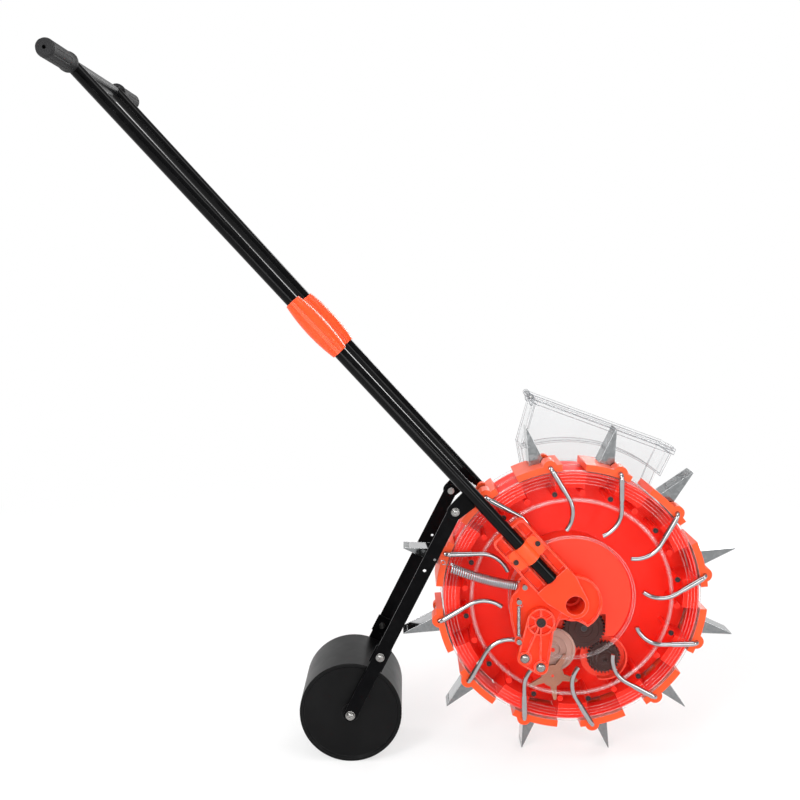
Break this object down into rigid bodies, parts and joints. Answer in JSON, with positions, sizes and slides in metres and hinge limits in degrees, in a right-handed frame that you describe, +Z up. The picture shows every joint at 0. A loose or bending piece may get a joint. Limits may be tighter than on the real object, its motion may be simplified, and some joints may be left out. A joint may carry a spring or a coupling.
{
  "type": "walk-behind seed planter",
  "caption": "Hand-pushed rolling seed planter: spiked drum with hinged soil mouths and bent levers, gear-fed seed roller, clear hopper, trailing press wheel and long push handle.",
  "frame": {"origin": "middle of the part's footprint, on the floor", "axes": "+X forward (the way it is pushed), +Y to the side with the seed hopper, +Z up"},
  "size_m": [1.1308, 0.48, 1.2024],
  "materials": {
    "tube_black": "gloss black paint",
    "bar_black": "black paint",
    "grip_grey": "fluted soft grip",
    "sleeve_orange": "moulded light orange",
    "bracket_orange": "moulded orange-red",
    "hub_orange": "moulded red-orange",
    "drum_orange": "moulded red-orange",
    "clear_plastic": "clear moulding",
    "hopper_clear": "clear moulding",
    "arm_black": "semi-gloss black paint",
    "roller_black": "dark hollow roller",
    "screw_dark": "dark phosphated",
    "bolt_zinc": "zinc plated",
    "spring_steel": "zinc plated wire",
    "beak_zinc": "galvanised sheet",
    "lever_chrome": "bright plated",
    "gear_brown": "dark brown",
    "star_tan": "tan",
    "disc_beige": "pinkish beige",
    "meter_dark": "dark"
  },
  "bodies": {
    "frame": {"near_lower_tube": "tube_black", "far_lower_tube": "tube_black", "near_upper_tube": "tube_black", "far_upper_tube": "tube_black", "sleeves": "sleeve_orange", "handlebar": "bar_black", "grips": "grip_grey", "near_bracket": "bracket_orange", "far_bracket": "bracket_orange", "tube_clamps": "sleeve_orange", "clamp_screws": "screw_dark", "axle_tube": "bolt_zinc", "hub_housing": "hub_orange", "hub_spacers": "hub_orange", "hopper_front": "hopper_clear", "hopper_back": "hopper_clear", "hopper_hinge_pin": "bolt_zinc", "arm_lugs": "arm_black", "arm_pivot_bolts": "bolt_zinc", "striker_pivot_bolt": "screw_dark", "spring_posts": "bolt_zinc", "arm_spring": "spring_steel", "striker_spring": "spring_steel"},
    "drum": {"drum_core": "drum_orange", "drum_webs": "drum_orange", "near_cover": "clear_plastic", "near_rim": "clear_plastic", "far_cover": "clear_plastic", "cover_screws": "screw_dark", "beak_seats": "sleeve_orange", "fixed_beaks": "beak_zinc"},
    "striker": {"striker": "bracket_orange", "striker_bolts": "bolt_zinc"},
    "rear_follower": {"rear_follower": "meter_dark"},
    "front_follower": {"front_follower": "meter_dark"},
    "press_frame": {"near_press_arm": "arm_black", "far_press_arm": "arm_black", "press_axle": "bolt_zinc", "axle_spacers": "bolt_zinc", "cross_brace": "arm_black", "brace_bolts": "bolt_zinc"},
    "press_roller": {"press_roller": "roller_black"},
    "star_wheel": {"star_wheel": "star_tan"},
    "idler_disc": {"idler_disc": "disc_beige"},
    "metering": {"metering_gear": "gear_brown", "metering_roller": "meter_dark"},
    "hand_gear": {"hand_gear": "gear_brown"},
    "hopper_lid": {"hopper_lid": "hopper_clear"},
    "beak_01": {"beak_flap_01": "lever_chrome"},
    "beak_02": {"beak_flap_02": "lever_chrome"},
    "beak_03": {"beak_flap_03": "lever_chrome"},
    "beak_04": {"beak_flap_04": "lever_chrome"},
    "beak_05": {"beak_flap_05": "lever_chrome"},
    "beak_06": {"beak_flap_06": "lever_chrome"},
    "beak_07": {"beak_flap_07": "lever_chrome"},
    "beak_08": {"beak_flap_08": "lever_chrome"},
    "beak_09": {"beak_flap_09": "lever_chrome"},
    "beak_10": {"beak_flap_10": "lever_chrome"},
    "beak_11": {"beak_flap_11": "lever_chrome"},
    "beak_12": {"beak_flap_12": "lever_chrome"}
  },
  "joints": [
    {"name": "drum_spin", "type": "hinge", "parent": "frame", "child": "drum", "pos_m": [0.27052, 0, 0.29487], "axis": [0, 1, 0], "continuous": true},
    {"name": "striker_pivot", "type": "hinge", "parent": "frame", "child": "striker", "pos_m": [0.21252, 0, 0.26387], "axis": [0, -1, 0], "range_deg": [0, 30], "stiffness_Nm_per_rad": 2, "springref_deg": -20.05, "deforming": ["striker_spring"]},
    {"name": "rear_follower_spin", "type": "hinge", "parent": "striker", "child": "rear_follower", "pos_m": [0.18602, 0, 0.19887], "axis": [0, 1, 0], "continuous": true},
    {"name": "front_follower_spin", "type": "hinge", "parent": "striker", "child": "front_follower", "pos_m": [0.21352, 0, 0.18287], "axis": [0, 1, 0], "continuous": true},
    {"name": "press_arm_pivot", "type": "hinge", "parent": "frame", "child": "press_frame", "pos_m": [0.06452, 0, 0.45587], "axis": [0, 1, 0], "range_deg": [0, 35], "stiffness_Nm_per_rad": 15, "springref_deg": -31.51, "deforming": ["arm_spring"]},
    {"name": "press_roller_spin", "type": "hinge", "parent": "press_frame", "child": "press_roller", "pos_m": [-0.11649, 0, 0.09], "axis": [0, 1, 0], "continuous": true},
    {"name": "star_spin", "type": "hinge", "parent": "frame", "child": "star_wheel", "pos_m": [0.241, 0, 0.1498], "axis": [0, 1, 0], "continuous": true},
    {"name": "idler_spin", "type": "hinge", "parent": "frame", "child": "idler_disc", "pos_m": [0.241, 0, 0.1958], "axis": [0, 1, 0], "continuous": true},
    {"name": "metering_spin", "type": "hinge", "parent": "frame", "child": "metering", "pos_m": [0.2963, 0, 0.23363], "axis": [0, 1, 0], "continuous": true},
    {"name": "hand_gear_spin", "type": "hinge", "parent": "frame", "child": "hand_gear", "pos_m": [0.33252, 0, 0.18087], "axis": [0, 1, 0], "continuous": true},
    {"name": "hopper_lid_hinge", "type": "hinge", "parent": "frame", "child": "hopper_lid", "pos_m": [0.20583, 0, 0.63687], "axis": [0, -1, 0], "range_deg": [0, 110]},
    {"name": "beak_01_pivot", "type": "hinge", "parent": "drum", "child": "beak_01", "pos_m": [0.5018, 0, 0.33648], "axis": [0, 1, 0], "range_deg": [0, 22], "stiffness_Nm_per_rad": 0.3, "springref_deg": -28.65},
    {"name": "beak_02_pivot", "type": "hinge", "parent": "drum", "child": "beak_02", "pos_m": [0.45, 0, 0.44655], "axis": [0, 1, 0], "range_deg": [0, 22], "stiffness_Nm_per_rad": 0.3, "springref_deg": -28.65},
    {"name": "beak_03_pivot", "type": "hinge", "parent": "drum", "child": "beak_03", "pos_m": [0.35012, 0, 0.51597], "axis": [0, 1, 0], "range_deg": [0, 22], "stiffness_Nm_per_rad": 0.3, "springref_deg": -28.65},
    {"name": "beak_04_pivot", "type": "hinge", "parent": "drum", "child": "beak_04", "pos_m": [0.2289, 0, 0.52615], "axis": [0, 1, 0], "range_deg": [0, 22], "stiffness_Nm_per_rad": 0.3, "springref_deg": -28.65},
    {"name": "beak_05_pivot", "type": "hinge", "parent": "drum", "child": "beak_05", "pos_m": [0.11883, 0, 0.47436], "axis": [0, 1, 0], "range_deg": [0, 22], "stiffness_Nm_per_rad": 0.3, "springref_deg": -28.65},
    {"name": "beak_06_pivot", "type": "hinge", "parent": "drum", "child": "beak_06", "pos_m": [0.04941, 0, 0.37447], "axis": [0, 1, 0], "range_deg": [0, 22], "stiffness_Nm_per_rad": 0.3, "springref_deg": -28.65},
    {"name": "beak_07_pivot", "type": "hinge", "parent": "drum", "child": "beak_07", "pos_m": [0.03923, 0, 0.25325], "axis": [0, 1, 0], "range_deg": [0, 22], "stiffness_Nm_per_rad": 0.3, "springref_deg": -28.65},
    {"name": "beak_08_pivot", "type": "hinge", "parent": "drum", "child": "beak_08", "pos_m": [0.09103, 0, 0.14318], "axis": [0, 1, 0], "range_deg": [0, 22], "stiffness_Nm_per_rad": 0.3, "springref_deg": -28.65},
    {"name": "beak_09_pivot", "type": "hinge", "parent": "drum", "child": "beak_09", "pos_m": [0.19092, 0, 0.07376], "axis": [0, 1, 0], "range_deg": [0, 22], "stiffness_Nm_per_rad": 0.3, "springref_deg": -28.65},
    {"name": "beak_10_pivot", "type": "hinge", "parent": "drum", "child": "beak_10", "pos_m": [0.31213, 0, 0.06358], "axis": [0, 1, 0], "range_deg": [0, 22], "stiffness_Nm_per_rad": 0.3, "springref_deg": -28.65},
    {"name": "beak_11_pivot", "type": "hinge", "parent": "drum", "child": "beak_11", "pos_m": [0.4222, 0, 0.11538], "axis": [0, 1, 0], "range_deg": [0, 22], "stiffness_Nm_per_rad": 0.3, "springref_deg": -28.65},
    {"name": "beak_12_pivot", "type": "hinge", "parent": "drum", "child": "beak_12", "pos_m": [0.49162, 0, 0.21527], "axis": [0, 1, 0], "range_deg": [0, 22], "stiffness_Nm_per_rad": 0.3, "springref_deg": -28.65}
  ],
  "couplings": [
    {"joint": "star_spin", "follows": "drum_spin", "ratio": 4.8},
    {"joint": "idler_spin", "follows": "drum_spin", "ratio": -2.3226},
    {"joint": "metering_spin", "follows": "drum_spin", "ratio": 2},
    {"joint": "hand_gear_spin", "follows": "drum_spin", "ratio": -2.5714}
  ]
}
